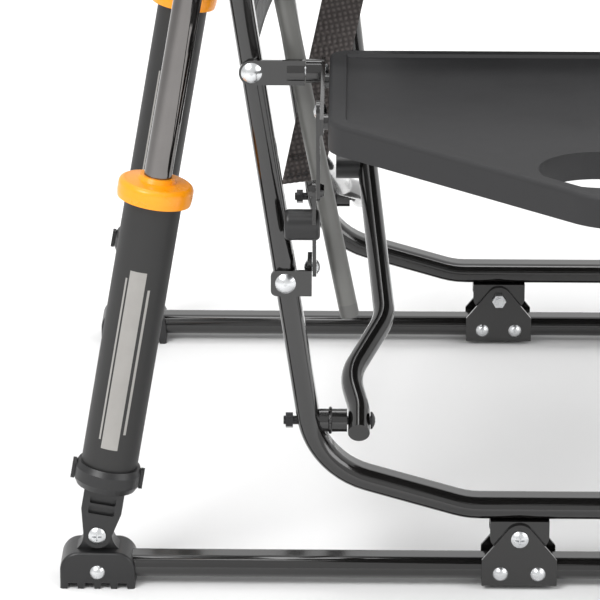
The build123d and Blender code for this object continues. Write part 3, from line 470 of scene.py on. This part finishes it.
# ------------------------------------------------------------------ weld beads and generic bars
def ring_points(centre, normal, radius, count=48, wobble=0.00025):
    normal = Vector(normal).normalized()
    a = normal.cross(Vector((0.2, 0.9, 0.3))).normalized()
    b = normal.cross(a)
    return [Vector(centre) + (radius + wobble * sin(i * 2.1))
            * (cos(2 * pi * i / count) * a + sin(2 * pi * i / count) * b)
            for i in range(count + 1)]


def bead(name, centre, normal, radius, thick, body):
    v, f = tube_along(ring_points(centre, normal, radius), thick)
    return mesh_piece(name, v, f, "weld", body)


for name, (side, y_side) in SIDES.items():
    bead(f"{name}_rear_stub_weld", (-0.1312, y_side, 0.119), (1, 0, 0), 0.0080, 0.0013, f"{name}_frame")
    bead(f"{name}_front_stub_weld", (post_x(0.119) - 0.0078, y_side, 0.119), (1, 0, 0), 0.0080, 0.0013,
         f"{name}_frame")
    rail_dir = (post_x(0.450) - upright_x(0.432), 0, 0.018)
    bead(f"{name}_rail_rear_weld", (upright_x(0.432) + 0.0078, y_side, rail_z(upright_x(0.432) + 0.0078)),
         rail_dir, 0.0095, 0.0014, f"{name}_frame")
    bead(f"{name}_rail_front_weld", (post_x(0.450) - 0.0078, y_side, rail_z(post_x(0.450) - 0.0078)),
         rail_dir,
         0.0095, 0.0014, f"{name}_frame")

# each bar: low and high end along the shock, bearing and half width in radians
SHOCK_BARS = ((0.066, 0.196, 0.10, 0.30), (0.078, 0.184, -0.36, 0.045), (0.072, 0.190, 0.50, 0.035))
SHOCK_FOOT = Vector((-0.292, 0, 0.038))
SHOCK_TOP = Vector((upright_x(0.528), 0, 0.528))
shock_up = (SHOCK_TOP - SHOCK_FOOT).normalized()
shock_out = Vector((0, -1, 0)).cross(shock_up)


def shell_patch(y_side, low, high, centre, half_wide, radius):
    """Thin patch standing on a shock tube, between two heights and round a bearing."""
    vertices, faces = [], []
    up_count, round_count = 12, 10
    for i in range(up_count + 1):
        s = low + (high - low) * i / up_count
        for k in range(round_count + 1):
            a = centre + half_wide * (2 * k / round_count - 1)
            out = Vector((0, -cos(a), 0)) + shock_out * sin(a)
            vertices.append(SHOCK_FOOT + Vector((0, y_side, 0)) + shock_up * s + out * radius)
    wide = round_count + 1
    for i in range(up_count):
        for k in range(round_count):
            faces.append((i * wide + k, i * wide + k + 1, (i + 1) * wide + k + 1, (i + 1) * wide + k))
    return vertices, faces


for name, (side, y_side) in SIDES.items():
    vertices, faces = [], []
    for low, high, bearing, half_wide in SHOCK_BARS:
        v, f = shell_patch(y_side, low, high, bearing, half_wide, 0.01962)
        faces += [tuple(len(vertices) + q for q in face) for face in f]
        vertices += v
    mesh_piece(f"{name}_shock_bars", vertices, faces, "decal", f"{name}_shock_body")

# ------------------------------------------------------------------ studio
floor = bpy.data.meshes.new("floor")
floor.from_pydata([(-6, -6, 0), (6, -6, 0), (6, 9, 0), (-6, 9, 0)], [], [(0, 1, 2, 3)])
floor_piece = bpy.data.objects.new("floor", floor)
bpy.context.scene.collection.objects.link(floor_piece)
floor_mat, floor_tree, floor_shader = material("studio_floor")
floor_tint = ramp(floor_tree, noise(floor_tree, coords(floor_tree), 2.0), "Fac",
                  [(0.3, grey(0.86)), (0.7, grey(0.89))])
wire(floor_tree, floor_tint, "Color", floor_shader, "Base Color")
floor_shader.inputs["Roughness"].default_value = 0.8
floor.materials.append(floor_mat)

world = bpy.data.worlds.new("studio")
bpy.context.scene.world = world
world.use_nodes = True
world.node_tree.nodes["Background"].inputs["Color"].default_value = (1, 1, 1, 1)
world.node_tree.nodes["Background"].inputs["Strength"].default_value = 0.85


def area_light(name, place, target, size, power, size_y=None):
    data = bpy.data.lights.new(name, "AREA")
    data.energy, data.size = power, size
    if size_y:
        data.shape, data.size_y = "RECTANGLE", size_y
    lamp = bpy.data.objects.new(name, data)
    bpy.context.scene.collection.objects.link(lamp)
    lamp.location = place
    lamp.rotation_euler = (Vector(target) - Vector(place)).to_track_quat("-Z", "Y").to_euler()
    return lamp


area_light("key", (-1.6, -2.2, 2.6), (0, 0.1, 0.3), 1.6, 70)
area_light("fill", (2.4, -1.6, 1.6), (0, 0.1, 0.3), 1.8, 34)
area_light("top", (0.1, 0.4, 3.0), (0, 0.2, 0.3), 2.0, 46)

# ------------------------------------------------------------------ camera
yaw, pitch, roll = radians(-0.7666), radians(18.525), radians(0.0985)
forward = Vector((sin(yaw) * cos(pitch), cos(yaw) * cos(pitch), -sin(pitch)))
level = Vector((cos(yaw), -sin(yaw), 0))
rise = level.cross(forward)
right = level * cos(roll) + rise * sin(roll)
rise = rise * cos(roll) - level * sin(roll)
lens = bpy.data.cameras.new("camera")
lens.sensor_width = 36
lens.lens = 4545.3 / 600 * 36
lens.clip_end = 60
camera = bpy.data.objects.new("camera", lens)
bpy.context.scene.collection.objects.link(camera)
turn = Matrix((right, rise, -forward)).transposed().to_4x4()
camera.matrix_world = Matrix.Translation((-0.11288, -3.05013, 1.19118)) @ turn
bpy.context.scene.camera = camera
bpy.context.scene.view_settings.view_transform = "Standard"
